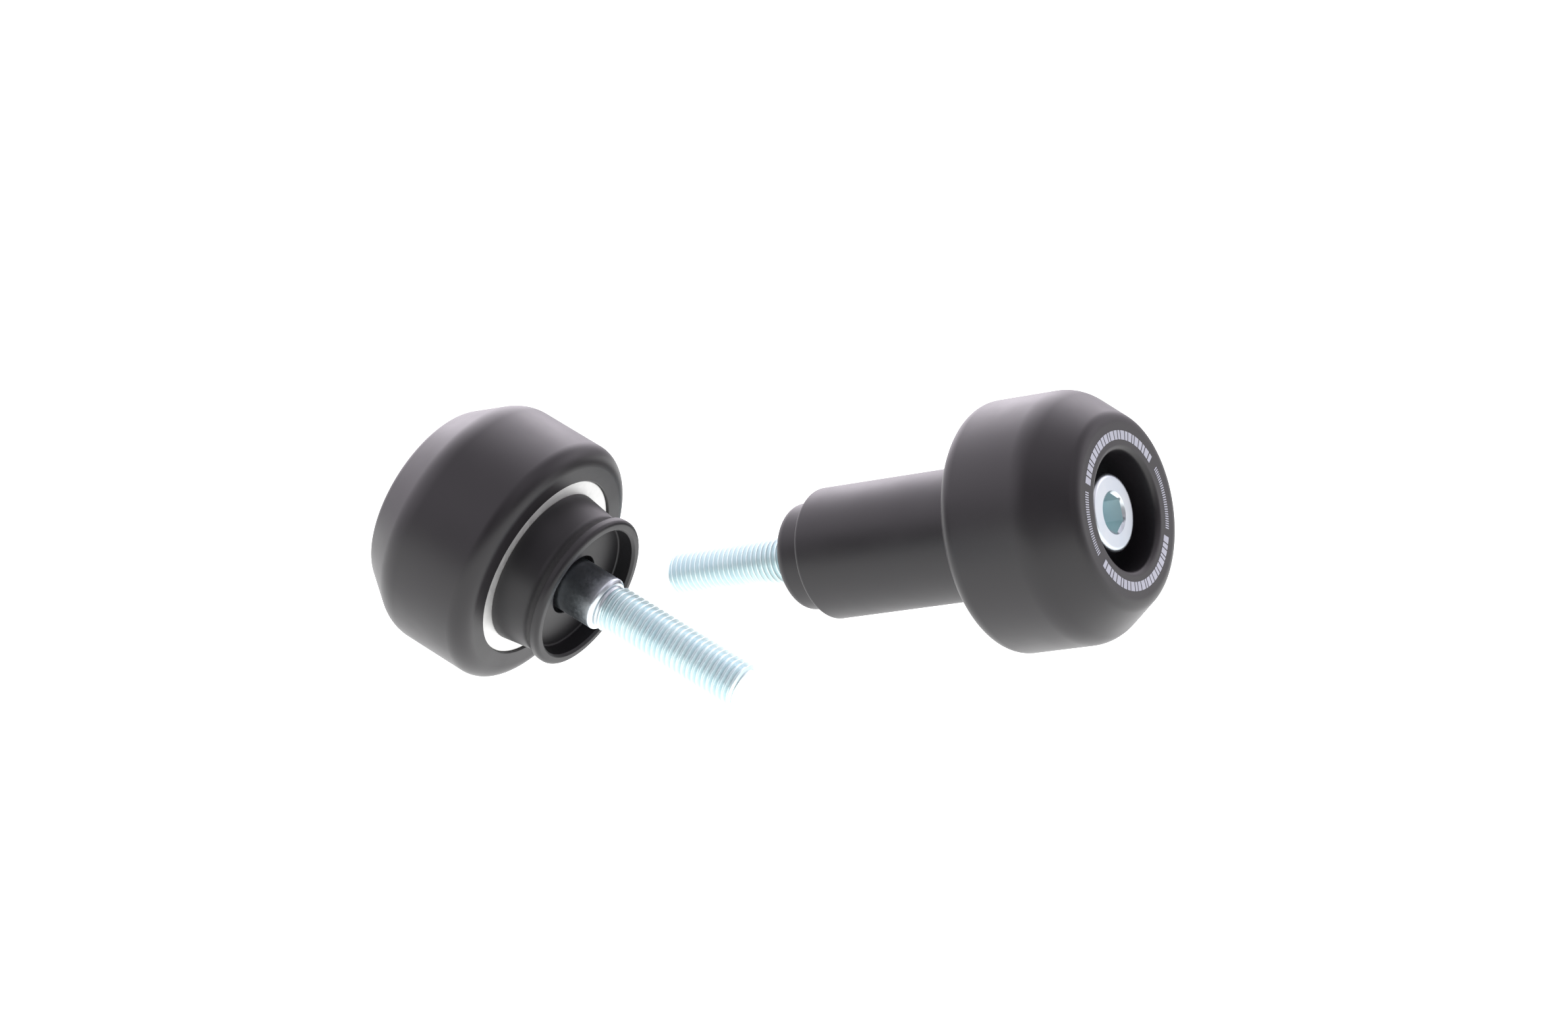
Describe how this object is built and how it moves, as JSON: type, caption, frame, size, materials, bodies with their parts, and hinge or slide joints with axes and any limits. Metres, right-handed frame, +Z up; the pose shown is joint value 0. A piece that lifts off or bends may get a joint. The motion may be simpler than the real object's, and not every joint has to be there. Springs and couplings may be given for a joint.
{
  "type": "handlebar end sliders",
  "caption": "Pair of handlebar end sliders: rounded black bobbins on socket cap bolts, one with a short cup collar and one with a long spacer and spigot.",
  "frame": {"origin": "middle of the pair's box, on the table that both units lie on", "axes": "+Z up from the table; +X from the left unit to the right unit; +Y away from the side that shows the left unit's cup"},
  "size_m": [0.13, 0.0848, 0.0438],
  "materials": {
    "bobbin_plastic": "satin moulded nylon, warm black",
    "collar_plastic": "satin turned plastic, warm black",
    "spacer_plastic": "satin turned plastic, warm black",
    "insert_alloy": "turned, matt",
    "washer_zinc": "bright zinc plated steel",
    "bolt_zinc": "bright zinc plated steel with a pale blue passivation"
  },
  "bodies": {
    "left_unit": {"left_bobbin": "bobbin_plastic", "left_insert": "insert_alloy", "left_collar": "collar_plastic"},
    "left_washer_body": {"left_washer": "washer_zinc"},
    "left_bolt_body": {"left_bolt": "bolt_zinc"},
    "right_unit": {"right_bobbin": "bobbin_plastic", "right_insert": "insert_alloy", "right_spacer": "spacer_plastic"},
    "right_washer_body": {"right_washer": "washer_zinc"},
    "right_bolt_body": {"right_bolt": "bolt_zinc"}
  },
  "joints": [
    {"name": "right_unit_lift", "type": "slide", "parent": "left_unit", "child": "right_unit", "axis": [0, 0, 1], "range_m": [0, 0.08]},
    {"name": "left_bolt_slide", "type": "slide", "parent": "left_unit", "child": "left_washer_body", "axis": [-0.7915, 0.4794, 0.379], "range_m": [0, 0.066]},
    {"name": "left_bolt_spin", "type": "hinge", "parent": "left_washer_body", "child": "left_bolt_body", "pos_m": [-0.04736, -0.01382, 0.02352], "axis": [-0.7915, 0.4794, 0.379], "continuous": true},
    {"name": "right_bolt_slide", "type": "slide", "parent": "right_unit", "child": "right_washer_body", "axis": [0.8123, -0.5316, 0.2401], "range_m": [0, 0.093]},
    {"name": "right_bolt_spin", "type": "hinge", "parent": "right_washer_body", "child": "right_bolt_body", "pos_m": [0.0476, -0.0032, 0.02292], "axis": [0.8123, -0.5316, 0.2401], "continuous": true}
  ]
}
